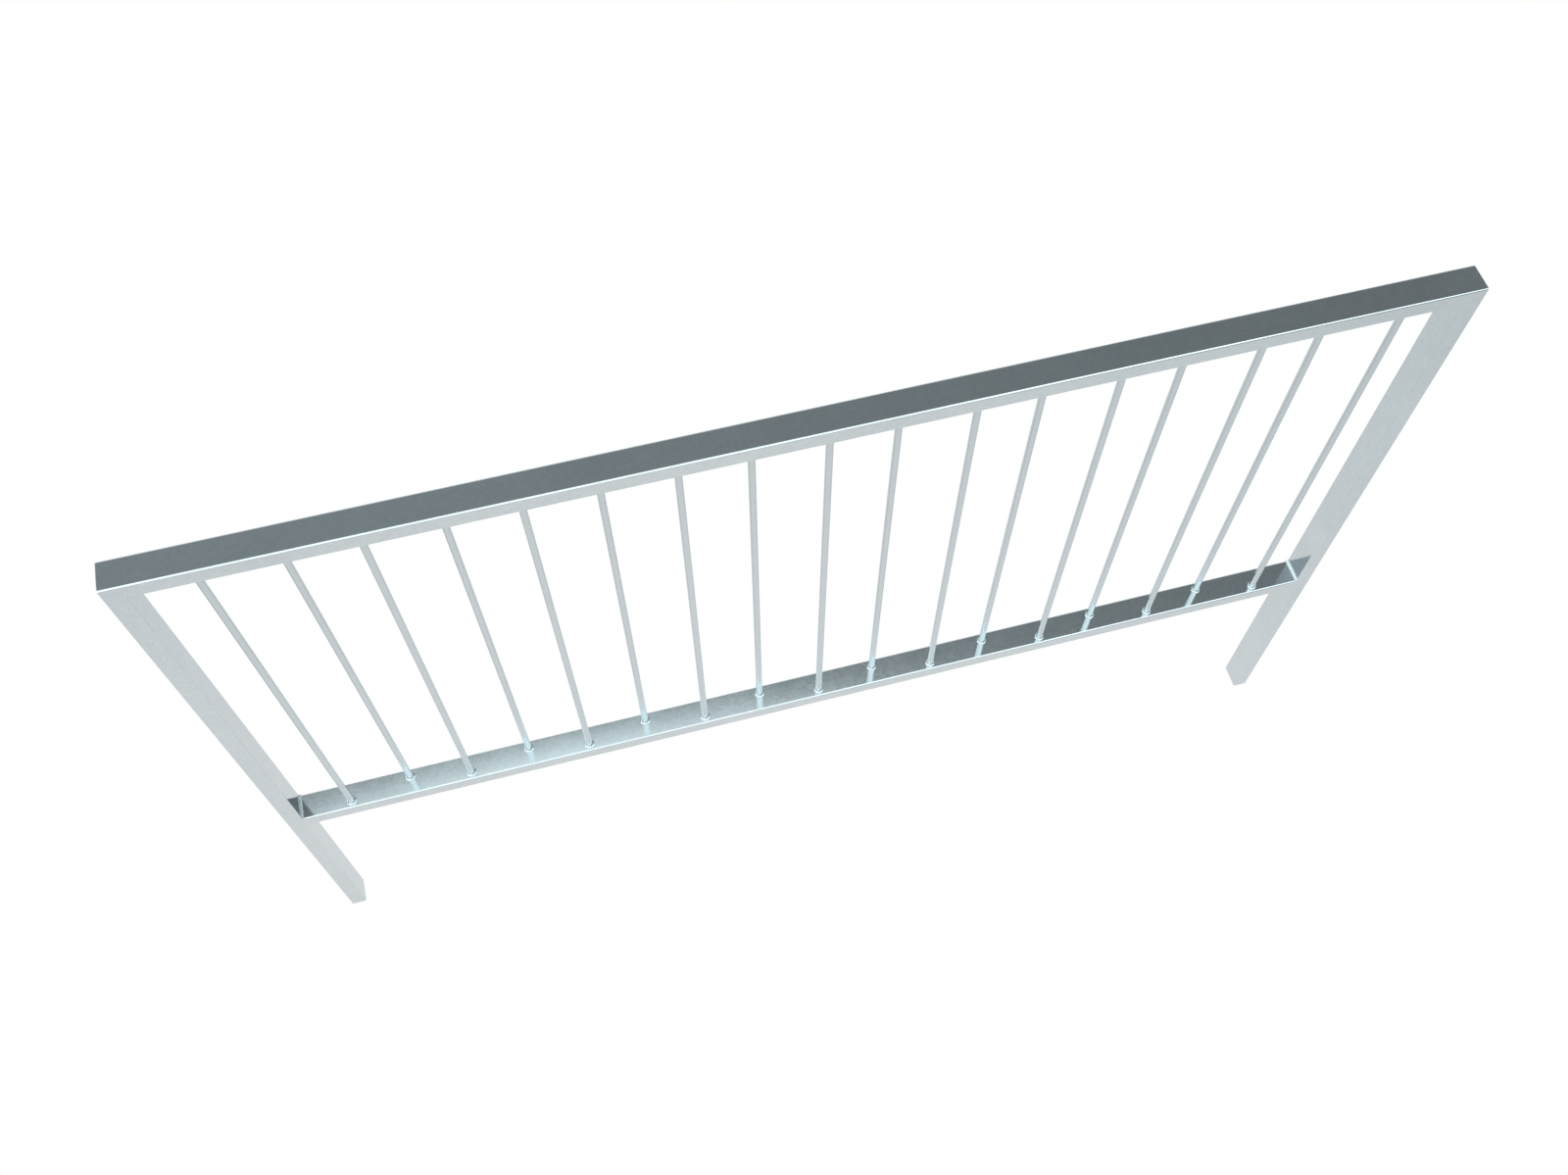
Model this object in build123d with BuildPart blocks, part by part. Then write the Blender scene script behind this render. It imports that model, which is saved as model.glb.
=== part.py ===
from build123d import *

import os

# Root-fixed guard barrier: two posts, two rails and a double row of upright bars, all welded.
# Millimetres, +Z up. X runs along the barrier, -Y is the front, and the origin lies midway
# between the two posts at the level of their lower ends.

# Frame
overall_width = 2075.0  # over the outer faces of the posts
overall_height = 1400.0  # lower ends of the posts to the top of the top rail
bottom_rail_level = 500.0  # lower ends of the posts to the top of the bottom rail

# Rectangular hollow section, the same for the posts and the rails
tube_depth = 50.0  # front to back
tube_face = 30.0  # as seen from the front
tube_wall = 2.0
tube_outside_radius = 3.0
tube_inside_radius = 1.0

# Upright bars, which stand turn by turn in a front row and a rear row
bar_count = 17
bar_diameter = 12.0
bar_chamfer = 0.8
bar_entry = 12.0  # length of a bar inside each rail
bar_clearance = 0.25  # all round a bar in its hole
end_gap = 94.0  # inner face of a post to the axis of the nearest bar
row_margin = 2.2  # weld ring of a row to where the round corner of the tube begins

# Welds with legs of equal length: hollow rings at the bars, full round beads at the rail's ends,
# and a butt weld through each mitre
ring_leg = 3.4
rail_weld_leg = 4.0
groove_setback = 0.2  # how far the weld beside a post's round corner stays below the faces
mitre_root_gap = 1.0
dressed_radius = 1.5  # outer edge of a top corner, where the weld is ground off

# Vent behind each end of the bottom rail, so that the zinc can run in and out
vent_diameter = 14.0

# Worked out from the sizes above
half_width = overall_width / 2
half_depth = tube_depth / 2
post_inner = half_width - tube_face
post_middle = half_width - tube_face / 2
top_rail_middle = overall_height - tube_face / 2
top_rail_underside = overall_height - tube_face
bottom_rail_middle = bottom_rail_level - tube_face / 2
bar_radius = bar_diameter / 2
row_offset = half_depth - tube_outside_radius - row_margin - ring_leg - bar_radius
bar_bottom = bottom_rail_level - bar_entry
bar_length = top_rail_underside + bar_entry - bar_bottom
bar_pitch = 2 * (post_inner - end_gap) / (bar_count - 1)

sides = {"left": -1, "right": 1}

# Axes of the bars from left to right, the odd ones in the front row
bar_centres = []
for index in range(bar_count):
    bar_x = -post_inner + end_gap + index * bar_pitch
    bar_y = -row_offset if index % 2 == 0 else row_offset
    bar_centres.append((bar_x, bar_y))


def mitre_plane(side):
    """The plane of a top corner's mitre, facing the top rail."""
    return Plane(
        origin=(side * half_width, 0, overall_height),
        x_dir=(0, 1, 0),
        z_dir=(-side, 0, 1),
    )


def post_section(side, hollow=True):
    """A post's section, at the level of the post's lower end."""
    with BuildSketch(Plane.XY) as section:
        with Locations((side * post_middle, 0)):
            RectangleRounded(tube_face, tube_depth, tube_outside_radius)
            if hollow:
                RectangleRounded(
                    tube_face - 2 * tube_wall,
                    tube_depth - 2 * tube_wall,
                    tube_inside_radius,
                    mode=Mode.SUBTRACT,
                )
    return section.sketch


def rail_section(start_x, middle_z, hollow=True):
    """A rail's section, at the rail's left end and facing +X."""
    with BuildSketch(Plane.YZ.offset(start_x)) as section:
        with Locations((0, middle_z)):
            RectangleRounded(tube_depth, tube_face, tube_outside_radius)
            if hollow:
                RectangleRounded(
                    tube_depth - 2 * tube_wall,
                    tube_face - 2 * tube_wall,
                    tube_inside_radius,
                    mode=Mode.SUBTRACT,
                )
    return section.sketch


def bar_holes(level):
    """The holes for the bars, as circles at the level of a rail's face."""
    with BuildSketch(Plane.XY.offset(level)) as holes:
        with Locations(*bar_centres):
            Circle(bar_radius + bar_clearance)
    return holes.sketch


def dressed_edge(side):
    """What is ground off the sharp outer edge of a top corner, as seen from the front."""
    corner = (side * half_width, overall_height)
    centre = (side * (half_width - dressed_radius), overall_height - dressed_radius)
    with BuildSketch(Plane.XZ) as waste:
        with Locations(((corner[0] + centre[0]) / 2, (corner[1] + centre[1]) / 2)):
            Rectangle(dressed_radius, dressed_radius)
        with Locations(centre):
            Circle(dressed_radius, mode=Mode.SUBTRACT)
    return waste.sketch


os.makedirs("parts", exist_ok=True)

# Top rail: mitred at both ends, with the holes for the bars in its lower wall
with BuildPart() as top_rail:
    extrude(rail_section(-half_width, top_rail_middle), amount=overall_width)
    for side in sides.values():
        extrude(dressed_edge(side), amount=half_depth, both=True, mode=Mode.SUBTRACT)
        split(bisect_by=mitre_plane(side).offset(mitre_root_gap / 2), keep=Keep.TOP)
    extrude(bar_holes(top_rail_underside), amount=tube_wall, mode=Mode.SUBTRACT)
top_rail.part.label = "top_rail"
export_step(top_rail.part, "parts/top_rail.step")

# Bottom rail: cut square to fit between the posts, with the holes in its upper wall
with BuildPart() as bottom_rail:
    extrude(rail_section(-post_inner, bottom_rail_middle), amount=2 * post_inner)
    extrude(bar_holes(bottom_rail_level), amount=-tube_wall, mode=Mode.SUBTRACT)
bottom_rail.part.label = "bottom_rail"
export_step(bottom_rail.part, "parts/bottom_rail.step")

for side_name, side in sides.items():
    # Post: mitred at the top, open below, vented into the bottom rail
    with BuildPart() as post:
        extrude(post_section(side), amount=overall_height)
        extrude(dressed_edge(side), amount=half_depth, both=True, mode=Mode.SUBTRACT)
        split(bisect_by=mitre_plane(side).offset(-mitre_root_gap / 2), keep=Keep.BOTTOM)
        with BuildSketch(Plane.YZ.offset(side * post_inner)):
            with Locations((0, bottom_rail_middle)):
                Circle(vent_diameter / 2)
        extrude(amount=side * tube_wall, mode=Mode.SUBTRACT)
    post.part.label = f"{side_name}_post"
    export_step(post.part, f"parts/{side_name}_post.step")

    # Mitre weld: fills the root gap through the wall and is ground flush with both tubes
    with BuildPart() as post_end:
        extrude(post_section(side), amount=overall_height)
        split(bisect_by=mitre_plane(side), keep=Keep.BOTTOM)
    with BuildPart() as mitre_weld:
        extrude(rail_section(-half_width, top_rail_middle), amount=overall_width)
        split(bisect_by=mitre_plane(side), keep=Keep.TOP)
        add(post_end.part)
        split(bisect_by=mitre_plane(side).offset(mitre_root_gap / 2), keep=Keep.BOTTOM)
        split(bisect_by=mitre_plane(side).offset(-mitre_root_gap / 2), keep=Keep.TOP)
        extrude(dressed_edge(side), amount=half_depth, both=True, mode=Mode.SUBTRACT)
    mitre_weld.part.label = f"{side_name}_mitre_weld"
    export_step(mitre_weld.part, f"parts/{side_name}_mitre_weld.step")

    # Rail weld: a bead above and below the rail's end, joined at the front and the back by the
    # weld that fills the groove beside the post's round corners
    groove_x = side * (post_inner + tube_outside_radius)
    toe_x = side * (post_inner - rail_weld_leg)
    with BuildPart() as rail_weld:
        with BuildSketch(Plane.XZ) as weld_side:
            with Locations(((groove_x + toe_x) / 2, bottom_rail_middle)):
                Rectangle(abs(groove_x - toe_x), tube_face + 2 * rail_weld_leg)
            toe_corners = weld_side.vertices().sort_by(Axis.X, reverse=side < 0)[:2]
            fillet(toe_corners, rail_weld_leg)
        extrude(amount=half_depth - groove_setback, both=True)
        extrude(post_section(side, hollow=False), amount=overall_height, mode=Mode.SUBTRACT)
        extrude(
            rail_section(-post_inner, bottom_rail_middle, hollow=False),
            amount=2 * post_inner,
            mode=Mode.SUBTRACT,
        )
    rail_weld.part.label = f"{side_name}_rail_weld"
    export_step(rail_weld.part, f"parts/{side_name}_rail_weld.step")

for number, (bar_x, bar_y) in enumerate(bar_centres, start=1):
    # Bar: sawn from round stock, with both ends inside the rails
    with BuildPart() as bar:
        with BuildSketch(Plane.XY.offset(bar_bottom)):
            with Locations((bar_x, bar_y)):
                Circle(bar_radius)
        extrude(amount=bar_length)
        chamfer(bar.edges().filter_by(GeomType.CIRCLE), bar_chamfer)
    bar.part.label = f"bar_{number:02d}"
    export_step(bar.part, f"parts/bar_{number:02d}.step")

    # Weld rings: one on the bottom rail round the bar's foot, one under the top rail
    for ring_name, level, up in (
        ("lower_weld", bottom_rail_level, 1),
        ("upper_weld", top_rail_underside, -1),
    ):
        ring_plane = Plane(origin=(bar_x, bar_y, level), x_dir=(1, 0, 0), z_dir=(0, -up, 0))
        with BuildPart() as weld_ring:
            with BuildSketch(ring_plane):
                with BuildLine():
                    Line((bar_radius, 0), (bar_radius + ring_leg, 0))
                    CenterArc((bar_radius + ring_leg, ring_leg), ring_leg, start_angle=270, arc_size=-90)
                    Line((bar_radius, ring_leg), (bar_radius, 0))
                make_face()
            revolve(axis=Axis((bar_x, bar_y, level), (0, 0, 1)))
        weld_ring.part.label = f"{ring_name}_{number:02d}"
        export_step(weld_ring.part, f"parts/{ring_name}_{number:02d}.step")
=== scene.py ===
import bpy
import bmesh
import math
from mathutils import Matrix, Vector


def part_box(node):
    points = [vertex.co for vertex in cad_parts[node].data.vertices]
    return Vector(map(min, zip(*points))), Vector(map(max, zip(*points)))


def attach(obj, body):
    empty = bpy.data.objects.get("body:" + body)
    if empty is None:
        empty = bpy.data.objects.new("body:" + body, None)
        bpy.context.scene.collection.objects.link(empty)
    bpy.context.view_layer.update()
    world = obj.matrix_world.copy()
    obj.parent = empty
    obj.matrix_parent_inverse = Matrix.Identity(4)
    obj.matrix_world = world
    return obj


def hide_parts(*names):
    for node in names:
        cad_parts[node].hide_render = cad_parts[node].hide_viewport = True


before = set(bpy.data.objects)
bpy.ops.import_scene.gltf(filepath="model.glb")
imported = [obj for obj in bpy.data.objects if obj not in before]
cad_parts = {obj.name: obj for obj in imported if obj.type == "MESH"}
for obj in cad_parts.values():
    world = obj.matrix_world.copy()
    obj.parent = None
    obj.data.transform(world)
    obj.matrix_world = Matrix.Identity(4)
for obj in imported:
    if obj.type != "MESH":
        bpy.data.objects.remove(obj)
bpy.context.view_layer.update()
scene = bpy.context.scene
print("frame loaded:", len(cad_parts), "nodes")


def addNode(tree, kind, inputs=None, **settings):
    node = tree.nodes.new(kind)
    for key, value in settings.items():
        setattr(node, key, value)
    for socket, value in (inputs or {}).items():
        if isinstance(value, bpy.types.NodeSocket):
            tree.links.new(value, node.inputs[socket])
        else:
            node.inputs[socket].default_value = value
    return node


def mathNode(tree, operation, first, second, clamp=False):
    node = addNode(tree, "ShaderNodeMath", {0: first, 1: second}, operation=operation)
    node.use_clamp = clamp
    return node.outputs[0]


def mixColour(tree, amount, first, second):
    return addNode(tree, "ShaderNodeMix", {0: amount, 6: first, 7: second}, data_type="RGBA").outputs[2]


def softStep(tree, value, edge):
    return addNode(tree, "ShaderNodeMapRange", {"Value": value, "From Min": edge[0], "From Max": edge[1]},
                   interpolation_type="SMOOTHSTEP").outputs[0]


zincMix = {
    "grainPart": 5.0,  # what each size of pattern adds to the tone
    "spanglePart": 0.9,
    "cloudPart": 2.2,
    "roughPart": 0.35,  # how far the roughness follows the tone
    "grainNoise": {"Detail": 3.0, "Roughness": 0.6},
    "cloudNoise": {"Detail": 4.0, "Roughness": 0.55},
    "grainRelief": 0.35,  # against the slow waviness
    "waveScale": 0.5,  # waves for each spangle
    "edgeTint": (0.84, 0.85, 0.86, 1),
}


def makeZincSkin():
    # Hot-dip zinc: cloudy patches, small spangles, a fine grain and a slow waviness.
    # Every material below places this group with its own values.
    group = bpy.data.node_groups.new("zincSkin", "ShaderNodeTree")
    face = group.interface
    face.new_socket("Vector", in_out="INPUT", socket_type="NodeSocketVector")
    for name in ("Grain Size", "Spangle Size", "Cloud Size", "Tone Spread", "Rough Low", "Rough High"):
        face.new_socket(name, in_out="INPUT", socket_type="NodeSocketFloat")
    for name in ("Dark Zinc", "Light Zinc"):
        face.new_socket(name, in_out="INPUT", socket_type="NodeSocketColor")
    face.new_socket("Color", in_out="OUTPUT", socket_type="NodeSocketColor")
    for name in ("Roughness", "Height"):
        face.new_socket(name, in_out="OUTPUT", socket_type="NodeSocketFloat")
    given = group.nodes.new("NodeGroupInput").outputs
    made = group.nodes.new("NodeGroupOutput").inputs

    grainScale = mathNode(group, "DIVIDE", 1.0, given["Grain Size"])
    spangleScale = mathNode(group, "DIVIDE", 1.0, given["Spangle Size"])
    cloudScale = mathNode(group, "DIVIDE", 1.0, given["Cloud Size"])
    grain = addNode(group, "ShaderNodeTexNoise", {"Vector": given["Vector"], "Scale": grainScale,
                                                 **zincMix["grainNoise"]}).outputs[0]
    clouds = addNode(group, "ShaderNodeTexNoise", {"Vector": given["Vector"], "Scale": cloudScale,
                                                  **zincMix["cloudNoise"]}).outputs[0]
    spangles = addNode(group, "ShaderNodeTexVoronoi", {"Vector": given["Vector"], "Scale": spangleScale})
    spangleTone = addNode(group, "ShaderNodeSeparateColor", {"Color": spangles.outputs["Color"]}).outputs[0]

    # tone 0..1 round 0.5, from the three sizes
    parts = [mathNode(group, "MULTIPLY", mathNode(group, "SUBTRACT", pattern, 0.5), zincMix[part])
             for pattern, part in ((grain, "grainPart"), (spangleTone, "spanglePart"), (clouds, "cloudPart"))]
    mixed = mathNode(group, "ADD", mathNode(group, "ADD", parts[0], parts[1]), parts[2])
    spread = mathNode(group, "MULTIPLY", mixed, given["Tone Spread"])
    tone = mathNode(group, "ADD", spread, 0.5, clamp=True)
    group.links.new(mixColour(group, tone, given["Dark Zinc"], given["Light Zinc"]), made["Color"])

    follow = mathNode(group, "MULTIPLY", mixed, zincMix["roughPart"])
    roughTone = mathNode(group, "ADD", follow, 0.5, clamp=True)
    rough = addNode(group, "ShaderNodeMapRange", {"Value": roughTone, "To Min": given["Rough Low"],
                                                  "To Max": given["Rough High"]})
    group.links.new(rough.outputs[0], made["Roughness"])

    waveScale = mathNode(group, "MULTIPLY", spangleScale, zincMix["waveScale"])
    waves = addNode(group, "ShaderNodeTexNoise", {"Vector": given["Vector"], "Scale": waveScale}).outputs[0]
    fine = mathNode(group, "MULTIPLY", grain, zincMix["grainRelief"])
    group.links.new(mathNode(group, "ADD", fine, waves), made["Height"])
    return group


zincSkin = makeZincSkin()

zincFinishes = {
    "galvanisedTube": {"Grain Size": 0.0020, "Spangle Size": 0.006, "Cloud Size": 0.12, "Tone Spread": 0.25,
                       "Rough Low": 0.08, "Rough High": 0.12,
                       "Dark Zinc": (0.535, 0.575, 0.59, 1), "Light Zinc": (0.675, 0.72, 0.735, 1),
                       "relief": 0.02, "reliefDepth": 0.0002},
    "galvanisedBar": {"Grain Size": 0.0018, "Spangle Size": 0.005, "Cloud Size": 0.08, "Tone Spread": 0.12,
                      "Rough Low": 0.07, "Rough High": 0.10,
                      "Dark Zinc": (0.515, 0.555, 0.57, 1), "Light Zinc": (0.655, 0.70, 0.715, 1),
                      "relief": 0.02, "reliefDepth": 0.0002},
    "galvanisedWeld": {"Grain Size": 0.0014, "Spangle Size": 0.004, "Cloud Size": 0.05, "Tone Spread": 0.20,
                       "Rough Low": 0.08, "Rough High": 0.13,
                       "Dark Zinc": (0.535, 0.575, 0.59, 1), "Light Zinc": (0.675, 0.72, 0.735, 1),
                       "relief": 0.03, "reliefDepth": 0.0002},
}


def makeZinc(name, finish):
    material = bpy.data.materials.new(name)
    material.use_nodes = True
    tree = material.node_tree
    shader = tree.nodes["Principled BSDF"]
    shader.inputs["Metallic"].default_value = 1.0
    shader.inputs["Specular Tint"].default_value = zincMix["edgeTint"]
    place = addNode(tree, "ShaderNodeTexCoord")
    skin = tree.nodes.new("ShaderNodeGroup")
    skin.node_tree = zincSkin
    tree.links.new(place.outputs["Object"], skin.inputs["Vector"])
    for socket, value in finish.items():
        if socket in skin.inputs:
            skin.inputs[socket].default_value = value
    relief = addNode(tree, "ShaderNodeBump", {"Height": skin.outputs["Height"], "Strength": finish["relief"],
                                             "Distance": finish["reliefDepth"]})
    tree.links.new(skin.outputs["Color"], shader.inputs["Base Color"])
    tree.links.new(skin.outputs["Roughness"], shader.inputs["Roughness"])
    tree.links.new(relief.outputs["Normal"], shader.inputs["Normal"])
    return material


zinc = {name: makeZinc(name, finish) for name, finish in zincFinishes.items()}
print("finishes ready")


mergeDistance = 1e-7  # points closer than this are one point
tiny = 1e-6  # lengths below this count as nothing
sharpAngle = 32  # degrees, edges that turn more than this stay crisp


def allOf(bm):
    return bm.verts[:] + bm.edges[:] + bm.faces[:]


def keepBelow(bm, point, normal, cap):
    # Saws off what lies beyond a plane. cap is "wall" where the saw goes through a hollow tube,
    # "face" where it meets solid metal, and None to leave the cut open.
    cut = bmesh.ops.bisect_plane(bm, geom=allOf(bm), plane_co=point, plane_no=normal,
                                 dist=mergeDistance, clear_outer=True)
    rim = [part for part in cut["geom_cut"] if isinstance(part, bmesh.types.BMEdge)]
    if cap == "wall":
        bmesh.ops.bridge_loops(bm, edges=rim)
    elif cap == "face" and rim:
        bmesh.ops.holes_fill(bm, edges=rim, sides=0)


def crosscut(bm, point, normal):
    # Splits the faces along a plane and takes nothing away
    bmesh.ops.bisect_plane(bm, geom=allOf(bm), plane_co=point, plane_no=normal, dist=mergeDistance)


def edgesAlong(bm, axis):
    return [e for e in bm.edges if abs((e.verts[0].co - e.verts[1].co)[axis]) > tiny]


def bevelEdges(bm, edges, offset, steps):
    bmesh.ops.bevel(bm, geom=edges, offset=offset, offset_type="OFFSET", affect="EDGES",
                    segments=steps, profile=0.5, material=-1)


def addRod(bm, radius, length, steps, place):
    bmesh.ops.create_cone(bm, cap_ends=True, segments=steps, radius1=radius, radius2=radius,
                          depth=length, matrix=place)


def plainBlock(low, high):
    bm = bmesh.new()
    bmesh.ops.create_cube(bm, size=1)
    bmesh.ops.scale(bm, vec=high - low, verts=bm.verts)
    bmesh.ops.translate(bm, vec=(low + high) / 2, verts=bm.verts)
    return bm


def roundedBlock(low, high, along, radius, steps):
    # A block with its long edges rounded, the solid outline of a tube
    bm = plainBlock(low, high)
    bevelEdges(bm, edgesAlong(bm, along), radius, steps)
    return bm


def hollowTube(low, high, along, tube):
    bm = roundedBlock(low, high, along, tube["outsideRadius"], tube["cornerSteps"])
    ends = [f for f in bm.faces if abs(f.normal[along]) > 0.99]
    bmesh.ops.delete(bm, geom=ends, context="FACES_ONLY")
    bmesh.ops.recalc_face_normals(bm, faces=bm.faces)
    bmesh.ops.solidify(bm, geom=bm.faces[:], thickness=tube["wall"])
    return bm


def meshFrom(name, bm):
    mesh = bpy.data.meshes.new(name)
    bm.to_mesh(mesh)
    bm.free()
    return mesh


def cutOut(bm, tools):
    # Takes the tools' solids out of bm with exact booleans, and gives back a new bmesh
    block = bpy.data.objects.new("block", meshFrom("block", bm))
    scene.collection.objects.link(block)
    toolObjects = []
    for tool in tools:
        cutter = bpy.data.objects.new("cutter", meshFrom("cutter", tool))
        scene.collection.objects.link(cutter)
        toolObjects.append(cutter)
        step = block.modifiers.new("cut", "BOOLEAN")
        step.operation = "DIFFERENCE"
        step.solver = "EXACT"
        step.object = cutter
    bpy.context.view_layer.update()
    seen = block.evaluated_get(bpy.context.evaluated_depsgraph_get())
    result = bmesh.new()
    result.from_mesh(seen.to_mesh())
    seen.to_mesh_clear()
    for used in [block] + toolObjects:
        data = used.data
        bpy.data.objects.remove(used)
        bpy.data.meshes.remove(data)
    return result


def finishPiece(name, bm, finishName, nodes):
    bmesh.ops.remove_doubles(bm, verts=bm.verts, dist=mergeDistance)
    bmesh.ops.recalc_face_normals(bm, faces=bm.faces)
    openEdges = sum(len(e.link_faces) != 2 for e in bm.edges)
    if openEdges:
        print("  open edges left on", name, openEdges)
    for face in bm.faces:
        face.smooth = True
    for edge in bm.edges:
        edge.smooth = len(edge.link_faces) == 2 and edge.calc_face_angle() < math.radians(sharpAngle)
    mesh = meshFrom(name, bm)
    mesh.materials.append(zinc[finishName])
    piece = bpy.data.objects.new(name, mesh)
    scene.collection.objects.link(piece)
    flatter = piece.modifiers.new("flatFacesStayFlat", "WEIGHTED_NORMAL")
    flatter.keep_sharp = True
    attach(piece, "root")
    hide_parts(*nodes)
    return piece


tube = {
    "wall": 0.002,
    "outsideRadius": 0.003,
    "cornerSteps": 10,
    "rootGap": 0.001,  # filled by the mitre weld
    "dressedRadius": 0.0015,  # outer edge of a top corner, ground after welding
    "dressedSteps": 6,
    "spare": 0.02,  # length that is sawn off again
    "ventRadius": 0.007,
    "ventCell": 0.02,  # stretch of post wall kept above and below the rail's end
    "holeRadius": 0.00625,
    "holeCell": 0.015,  # half the stretch of wall that holds one hole
    "holeSteps": 48,
}
sides = {"left": -1, "right": 1}
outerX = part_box("right_post")[1].x
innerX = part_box("right_post")[0].x
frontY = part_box("top_rail")[0].y
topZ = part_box("top_rail")[1].z
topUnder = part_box("top_rail")[0].z
railLow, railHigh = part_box("bottom_rail")
barNumbers = range(1, 1 + sum(name.startswith("bar_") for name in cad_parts))


def barAxis(number):
    low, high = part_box(f"lower_weld_{number:02d}")
    return (low + high) / 2


def dressCorner(bm, side):
    # Grinds the sharp outer edge of a top corner to a small round, one narrow facet at a time
    radius, steps = tube["dressedRadius"], tube["dressedSteps"]
    centre = Vector((side * (outerX - radius), 0, topZ - radius))
    for step in range(steps):
        angle = math.radians(90 * (step + 0.5) / steps)
        outward = Vector((side * math.sin(angle), 0, math.cos(angle)))
        keepBelow(bm, centre + outward * radius * math.cos(math.radians(45 / steps)), outward, "face")


def mitreCut(side, offset):
    # Point and direction of the mitre, shifted towards the post by offset
    along = Vector((side, 0, -1)).normalized()
    return Vector((side * outerX, 0, topZ)) + along * offset, along


def holeCutters(level):
    # One short cylinder through the wall for each bar
    cutter = bmesh.new()
    for number in barNumbers:
        axis = barAxis(number)
        addRod(cutter, tube["holeRadius"], 3 * tube["wall"], tube["holeSteps"],
               Matrix.Translation((axis.x, axis.y, level)))
    return cutter


def crosscutBesideHoles(bm):
    # Keeps each hole's ragged faces in a short stretch of wall
    for number in barNumbers:
        for shift in (-tube["holeCell"], tube["holeCell"]):
            crosscut(bm, (barAxis(number).x + shift, 0, 0), (1, 0, 0))


def topRailCorners():
    # Too long at both ends, the mitres are sawn afterwards
    low = Vector((-outerX - tube["spare"], frontY, topUnder))
    high = Vector((outerX + tube["spare"], -frontY, topZ))
    return low, high


def makeTopRail():
    bm = hollowTube(*topRailCorners(), 0, tube)
    for side in sides.values():
        point, along = mitreCut(side, -tube["rootGap"] / 2)
        keepBelow(bm, point, along, "wall")
        dressCorner(bm, side)
    crosscutBesideHoles(bm)
    bm = cutOut(bm, [holeCutters(topUnder)])
    return finishPiece("topRail", bm, "galvanisedTube", ["top_rail"])


def makeBottomRail():
    spare = Vector((tube["spare"], 0, 0))
    bm = hollowTube(railLow - spare, railHigh + spare, 0, tube)
    for side in sides.values():
        keepBelow(bm, (side * railHigh.x, 0, 0), (side, 0, 0), "wall")
    crosscutBesideHoles(bm)
    bm = cutOut(bm, [holeCutters(railHigh.z)])
    return finishPiece("bottomRail", bm, "galvanisedTube", ["bottom_rail"])


def postCorners(side):
    x = sorted((side * innerX, side * outerX))
    return Vector((x[0], frontY, -tube["spare"])), Vector((x[1], -frontY, topZ + tube["spare"]))


def makePost(sideName, side):
    bm = hollowTube(*postCorners(side), 2, tube)
    keepBelow(bm, (0, 0, 0), (0, 0, -1), "wall")
    point, along = mitreCut(side, tube["rootGap"] / 2)
    keepBelow(bm, point, -along, "wall")
    dressCorner(bm, side)
    vent = bmesh.new()
    ventPlace = Matrix.Translation((side * innerX, 0, (railLow.z + railHigh.z) / 2))
    addRod(vent, tube["ventRadius"], 3 * tube["wall"], tube["holeSteps"],
           ventPlace @ Matrix.Rotation(math.radians(90), 4, "Y"))
    for level in (railLow.z - tube["ventCell"], railLow.z, railHigh.z, railHigh.z + tube["ventCell"]):
        crosscut(bm, (0, 0, level), (0, 0, 1))
    bm = cutOut(bm, [vent])
    return finishPiece(f"{sideName}Post", bm, "galvanisedTube", [f"{sideName}_post"])


def makeMitreWeld(sideName, side):
    # The rail's half of the weld, then the post's half, mirrored in the mitre
    bm = hollowTube(*topRailCorners(), 0, tube)
    point, along = mitreCut(side, -tube["rootGap"] / 2)
    keepBelow(bm, point, -along, "wall")
    point, along = mitreCut(side, 0)
    keepBelow(bm, point, along, None)
    twin = bmesh.ops.duplicate(bm, geom=allOf(bm))["geom"]
    flip = Matrix.Identity(4) - 2 * Matrix(((along.x * along.x, 0, along.x * along.z, 0), (0, 0, 0, 0),
                                            (along.x * along.z, 0, along.z * along.z, 0), (0, 0, 0, 0)))
    bmesh.ops.transform(bm, matrix=Matrix.Translation(point) @ flip @ Matrix.Translation(-point),
                        verts=[part for part in twin if isinstance(part, bmesh.types.BMVert)])
    bmesh.ops.remove_doubles(bm, verts=bm.verts, dist=tiny)
    bmesh.ops.recalc_face_normals(bm, faces=bm.faces)
    dressCorner(bm, side)
    return finishPiece(f"{sideName}MitreWeld", bm, "galvanisedWeld",
                       [f"{sideName}_mitre_weld"])


makeTopRail()
makeBottomRail()
for sideName, side in sides.items():
    makePost(sideName, side)
    makeMitreWeld(sideName, side)
print("tubes and mitre welds built")


railWeld = {
    "leg": 0.004,
    "toeSteps": 8,
    "setback": 0.0002,  # how far the weld beside a post's round corner stays below the faces
    "slices": 72,  # along the bead, for its ripple
    "ripplePitch": 0.0024,
    "rippleDepth": 0.00012,
    "wander": 0.9,  # how uneven the pitch is, in radians
    "wanderRate": 230,  # radians for each metre of bead
    "touching": 0.00001,  # no ripple closer than this to the rail or the post
}


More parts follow.
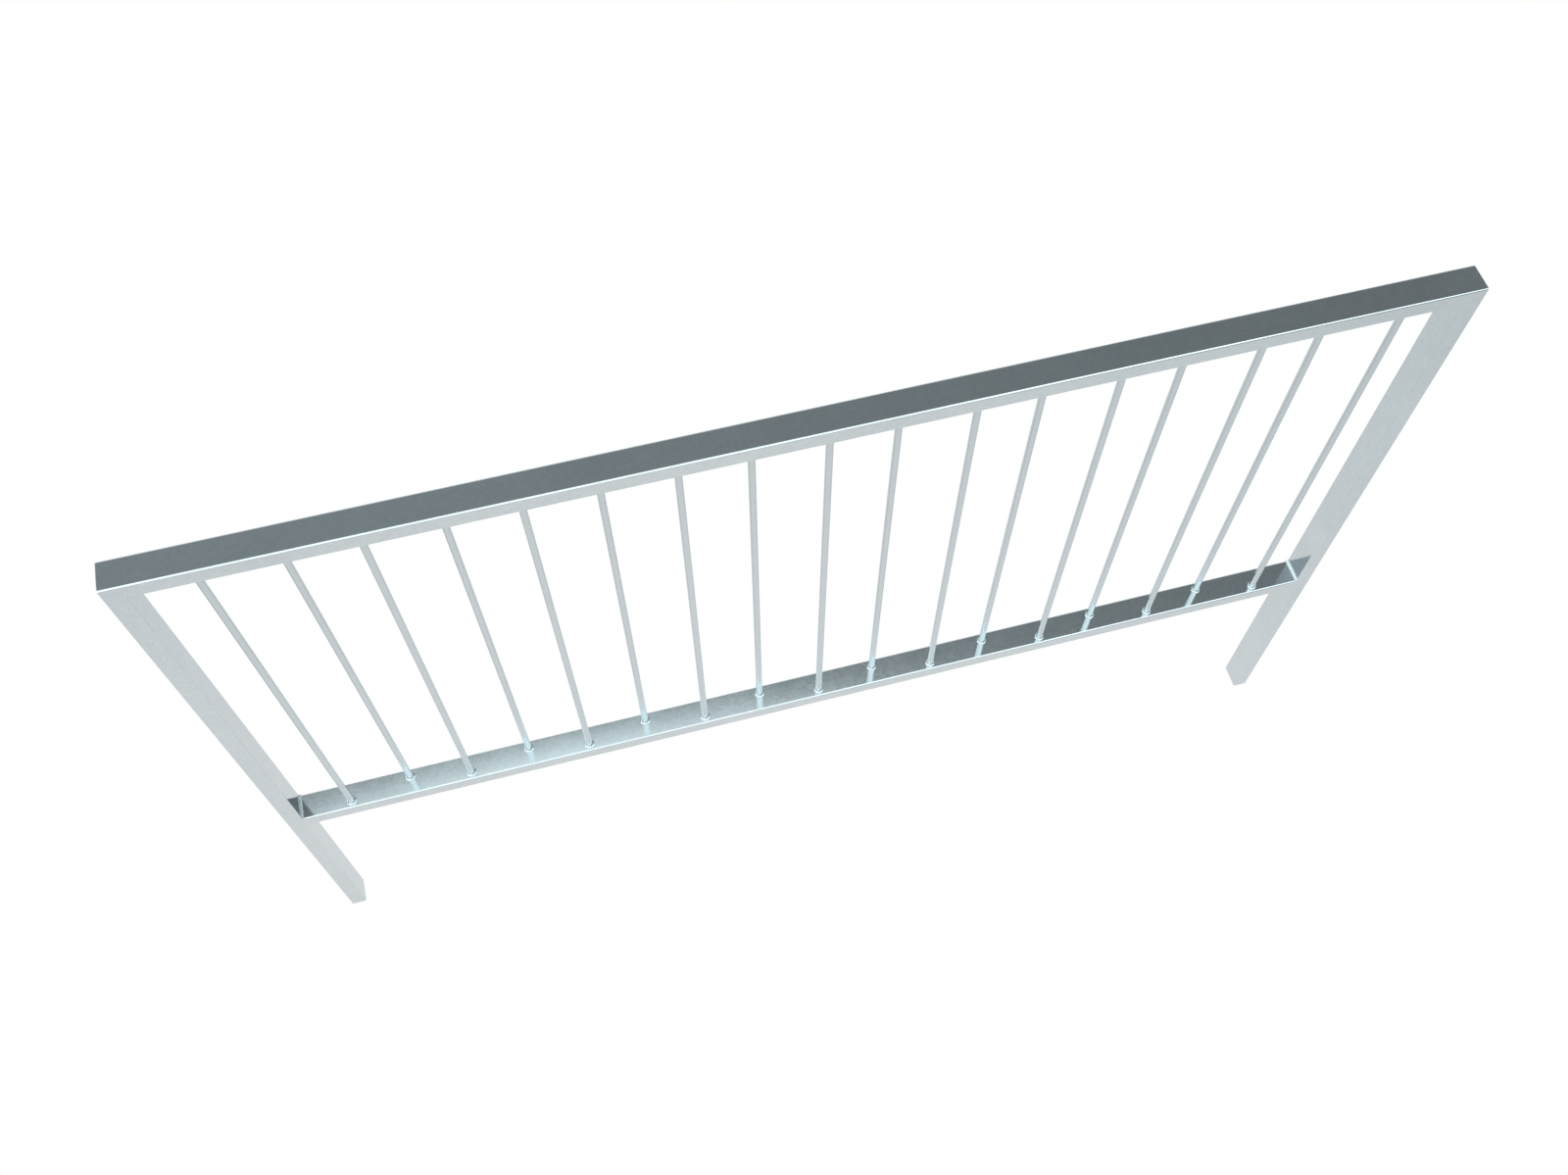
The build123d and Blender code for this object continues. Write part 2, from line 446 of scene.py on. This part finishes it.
def makeRailWeld(sideName, side):
    # A bead round the end of the bottom rail, with the post and the rail taken out of it
    toeX = side * (innerX - railWeld["leg"])
    grooveX = side * (innerX + tube["outsideRadius"])
    y = frontY + railWeld["setback"]
    low = Vector((min(toeX, grooveX), y, railLow.z - railWeld["leg"]))
    high = Vector((max(toeX, grooveX), -y, railHigh.z + railWeld["leg"]))
    bm = plainBlock(low, high)
    toes = [e for e in edgesAlong(bm, 1) if all(abs(v.co.x - toeX) < tiny for v in e.verts)]
    bevelEdges(bm, toes, railWeld["leg"], railWeld["toeSteps"])
    bmesh.ops.subdivide_edges(bm, edges=edgesAlong(bm, 1), cuts=railWeld["slices"], use_grid_fill=True)
    middleZ = (low.z + high.z) / 2
    halfRail = (railHigh.z - railLow.z) / 2
    for v in bm.verts:
        rise = v.co.z - middleZ
        offRail = abs(rise) - halfRail > railWeld["touching"]
        if offRail and side * v.co.x < innerX - railWeld["touching"]:
            # shrink towards the root of the bead, a little more between ripples
            root = Vector((side * innerX, v.co.y, middleZ + math.copysign(halfRail, rise)))
            wander = railWeld["wander"] * math.sin(railWeld["wanderRate"] * v.co.y)
            wave = 0.5 + 0.5 * math.cos(2 * math.pi * v.co.y / railWeld["ripplePitch"] + wander)
            v.co += (root - v.co).normalized() * railWeld["rippleDepth"] * wave
    post = roundedBlock(*postCorners(side), 2, tube["outsideRadius"], tube["cornerSteps"])
    rail = roundedBlock(railLow, railHigh, 0, tube["outsideRadius"], tube["cornerSteps"])
    bm = cutOut(bm, [post, rail])
    return finishPiece(f"{sideName}RailWeld", bm, "galvanisedWeld",
                       [f"{sideName}_rail_weld"])


for sideName, side in sides.items():
    makeRailWeld(sideName, side)
print("rail welds built")


bar = {"radius": 0.006, "steps": 48, "chamfer": 0.0008}


def makeBar(number):
    axis = barAxis(number)
    low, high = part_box(f"bar_{number:02d}")
    bm = bmesh.new()
    addRod(bm, bar["radius"], high.z - low.z, bar["steps"],
           Matrix.Translation((axis.x, axis.y, (low.z + high.z) / 2)))
    rims = [e for e in bm.edges if abs(e.verts[0].co.z - e.verts[1].co.z) < tiny]
    bevelEdges(bm, rims, bar["chamfer"], 1)
    return finishPiece(f"bar{number:02d}", bm, "galvanisedBar", [f"bar_{number:02d}"])


ring = {
    "leg": 0.0034,
    "turnSteps": 112,
    "arcSteps": 8,
    "ripples": 28,
    "rippleDepth": 0.00011,
    "startBump": 0.00012,  # where the welder stopped over the start
    "bumpWidth": 0.25,  # radians
    "phaseStep": 2.4,  # turns the ripples from one bar to the next
    "headPhase": 0.7,
    "wander": 0.8,  # how uneven the ripples are, in radians
    "wanderTurns": 3,
}


def makeRing(name, node, number, level, up):
    axis = barAxis(number)
    bm = bmesh.new()
    # hollow profile in the plane to the right of the bar, an arc round a hub outside the metal
    inner = bmesh.ops.create_vert(bm, co=(axis.x + bar["radius"], axis.y, level))["vert"][0]
    toe = bmesh.ops.create_vert(bm, co=(axis.x + bar["radius"] + ring["leg"], axis.y, level))["vert"][0]
    hub = toe.co + Vector((0, 0, up * ring["leg"]))
    bmesh.ops.spin(bm, geom=[toe], cent=hub, axis=(0, up, 0), dvec=(0, 0, 0), angle=math.radians(90),
                   steps=ring["arcSteps"], use_merge=False, use_duplicate=False)
    crown = max(bm.verts, key=lambda v: abs(v.co.z - level))
    bm.edges.new((inner, toe))
    bm.edges.new((inner, crown))
    bmesh.ops.spin(bm, geom=bm.verts[:] + bm.edges[:], cent=axis, axis=(0, 0, 1), dvec=(0, 0, 0),
                   angle=math.radians(360), steps=ring["turnSteps"], use_merge=True, use_duplicate=False)
    phase = number * ring["phaseStep"] + (ring["headPhase"] if up < 0 else 0)
    for v in bm.verts:
        out = Vector((v.co.x - axis.x, v.co.y - axis.y, 0))
        rise = abs(v.co.z - level)
        beyond = out.length - bar["radius"]
        if beyond > tiny and rise > tiny:  # the hollow face only, its toe and crown stay put
            turn = math.atan2(out.y, out.x)
            wander = ring["wander"] * math.sin(ring["wanderTurns"] * turn + phase)
            wave = 0.5 + 0.5 * math.cos(ring["ripples"] * turn + phase + wander)
            start = math.exp(-((turn - math.remainder(phase, 2 * math.pi)) / ring["bumpWidth"]) ** 2)
            sink = ring["rippleDepth"] * wave + ring["startBump"] * (1 - start)
            toRoot = out.normalized() * -beyond + Vector((0, 0, -up * rise))
            v.co += toRoot.normalized() * sink * math.sin(2 * math.atan2(rise, beyond))
    return finishPiece(name, bm, "galvanisedWeld", [node])


for number in barNumbers:
    makeBar(number)
    makeRing(f"footWeld{number:02d}", f"lower_weld_{number:02d}", number, railHigh.z, 1)
    makeRing(f"headWeld{number:02d}", f"upper_weld_{number:02d}", number, topUnder, -1)
print("bars and weld rings built")


studio = {
    "floorSize": 60.0,
    "paper": (1.0, 1.0, 1.0, 1),  # the floor as looked down on
    "backdrop": (0.76, 0.775, 0.785, 1),  # the walls, and the floor seen at a low angle
    "floorFade": (0.43, 0.75),  # from looking down on it (0) to looking along it (1)
    "floorGlow": (  # what the metal sees of the floor, from straight down to along it
        (0.0, (1.0, 1.0, 1.0)), (0.113, (1.0, 1.0, 1.0)), (0.15, (0.95, 0.96, 0.962)),
        (0.185, (0.90, 0.922, 0.925)), (0.25, (0.845, 0.876, 0.88)), (0.28, (0.80, 0.838, 0.845)),
        (0.5, (0.76, 0.80, 0.81)), (0.75, (0.80, 0.84, 0.85)), (1.0, (0.95, 0.98, 0.985)),
    ),
    "skyDark": (0.195, 0.217, 0.226, 1),
    "skyGlow": (0.281, 0.319, 0.334, 1),
    "glowEdge": (0.60, -0.28),  # east-west direction where the glow starts, and where it is full
    "rearGlow": (0.80, 0.86, 0.88, 1),  # low behind the barrier
    "rearEdge": (0.60, 0.85),
    "silkLight": (1.80, 2.04, 2.08, 1),
    "silks": (  # direction of the middle, degrees to where it starts and where it is full, power
        ((-0.038, -0.373, 1.0), (45.5, 42.7), 1.0),
        ((-0.615, -0.622, 0.481), (68.0, 50.0), 0.5),
    ),
    "leftStrip": (-0.36, -0.62),  # east-west directions where a strip light starts and is full
    "rightStrip": (0.56, 0.68),
    "rightPower": 0.6,
    "stripFoot": (0.12, 0.36),  # how high up the strips start
    "overheadDip": (23.0, 13.0),  # the silk is weaker straight above
    "overheadPower": 0.62,
}


def makeFloor():
    # A glowing floor. Its light changes with the angle it is seen at, and from below it is clear.
    bm = bmesh.new()
    bmesh.ops.create_grid(bm, x_segments=1, y_segments=1, size=studio["floorSize"] / 2)
    floor = bpy.data.objects.new("floor", meshFrom("floor", bm))
    scene.collection.objects.link(floor)
    material = bpy.data.materials.new("lightTable")
    material.use_nodes = True
    tree = material.node_tree
    tree.nodes.clear()
    facing = addNode(tree, "ShaderNodeLayerWeight", {"Blend": 0.5}).outputs["Facing"]
    ramp = tree.nodes.new("ShaderNodeValToRGB")
    tree.links.new(facing, ramp.inputs["Fac"])
    while len(ramp.color_ramp.elements) < len(studio["floorGlow"]):
        ramp.color_ramp.elements.new(0.5)
    for element, (position, level) in zip(ramp.color_ramp.elements, studio["floorGlow"]):
        element.position = position
        element.color = level + (1,)
    seen = addNode(tree, "ShaderNodeLightPath").outputs["Is Camera Ray"]
    fade = softStep(tree, facing, studio["floorFade"])
    shown = mixColour(tree, fade, studio["paper"], studio["backdrop"])
    glow = addNode(tree, "ShaderNodeEmission", {"Color": mixColour(tree, seen, ramp.outputs[0], shown)})
    clear = addNode(tree, "ShaderNodeBsdfTransparent")
    fromBelow = addNode(tree, "ShaderNodeNewGeometry").outputs["Backfacing"]
    surface = addNode(tree, "ShaderNodeMixShader", {0: fromBelow, 1: glow.outputs[0], 2: clear.outputs[0]})
    output = tree.nodes.new("ShaderNodeOutputMaterial")
    tree.links.new(surface.outputs[0], output.inputs["Surface"])
    floor.data.materials.append(material)


def cosinesOf(degrees):
    return [math.cos(math.radians(angle)) for angle in degrees]


def makeSky():
    world = bpy.data.worlds.new("studioSky")
    scene.world = world
    world.use_nodes = True
    tree = world.node_tree
    tree.nodes.clear()
    direction = addNode(tree, "ShaderNodeTexCoord").outputs["Generated"]
    east, north, up = addNode(tree, "ShaderNodeSeparateXYZ", {0: direction}).outputs
    sky = mixColour(tree, softStep(tree, east, studio["glowEdge"]), studio["skyDark"], studio["skyGlow"])
    sky = mixColour(tree, softStep(tree, north, studio["rearEdge"]), sky, studio["rearGlow"])
    rightStrip = softStep(tree, east, studio["rightStrip"])
    rightStrip = mathNode(tree, "MULTIPLY", rightStrip, studio["rightPower"])
    strips = mathNode(tree, "MAXIMUM", softStep(tree, east, studio["leftStrip"]), rightStrip)
    lit = mathNode(tree, "MULTIPLY", strips, softStep(tree, up, studio["stripFoot"]))
    for middle, edge, power in studio["silks"]:
        towards = addNode(tree, "ShaderNodeVectorMath", {0: direction, 1: Vector(middle).normalized()},
                          operation="DOT_PRODUCT").outputs["Value"]
        silk = mathNode(tree, "MULTIPLY", softStep(tree, towards, cosinesOf(edge)), power)
        lit = mathNode(tree, "MAXIMUM", lit, silk)
    overhead = softStep(tree, up, cosinesOf(studio["overheadDip"]))
    dip = mathNode(tree, "MULTIPLY", overhead, 1 - studio["overheadPower"])
    lit = mathNode(tree, "MULTIPLY", lit, mathNode(tree, "SUBTRACT", 1.0, dip))
    sky = mixColour(tree, lit, sky, studio["silkLight"])
    seen = addNode(tree, "ShaderNodeLightPath").outputs["Is Camera Ray"]
    back = addNode(tree, "ShaderNodeBackground", {"Color": mixColour(tree, seen, sky, studio["backdrop"])})
    output = tree.nodes.new("ShaderNodeOutputWorld")
    tree.links.new(back.outputs[0], output.inputs["Surface"])


viewpoint = {
    "place": (-0.3869, -1.2178, 3.2071),
    "tilt": 28.880,  # degrees up from straight down
    "turn": -14.718,
    "lens": 34.916,
    "filmWidth": 36,
}


def makeCamera():
    view = bpy.data.cameras.new("camera")
    view.lens = viewpoint["lens"]
    view.sensor_width = viewpoint["filmWidth"]
    camera = bpy.data.objects.new("camera", view)
    scene.collection.objects.link(camera)
    camera.location = viewpoint["place"]
    camera.rotation_euler = (math.radians(viewpoint["tilt"]), 0, math.radians(viewpoint["turn"]))
    scene.camera = camera


makeFloor()
makeSky()
makeCamera()
scene.view_settings.view_transform = "Standard"
print("stage ready")
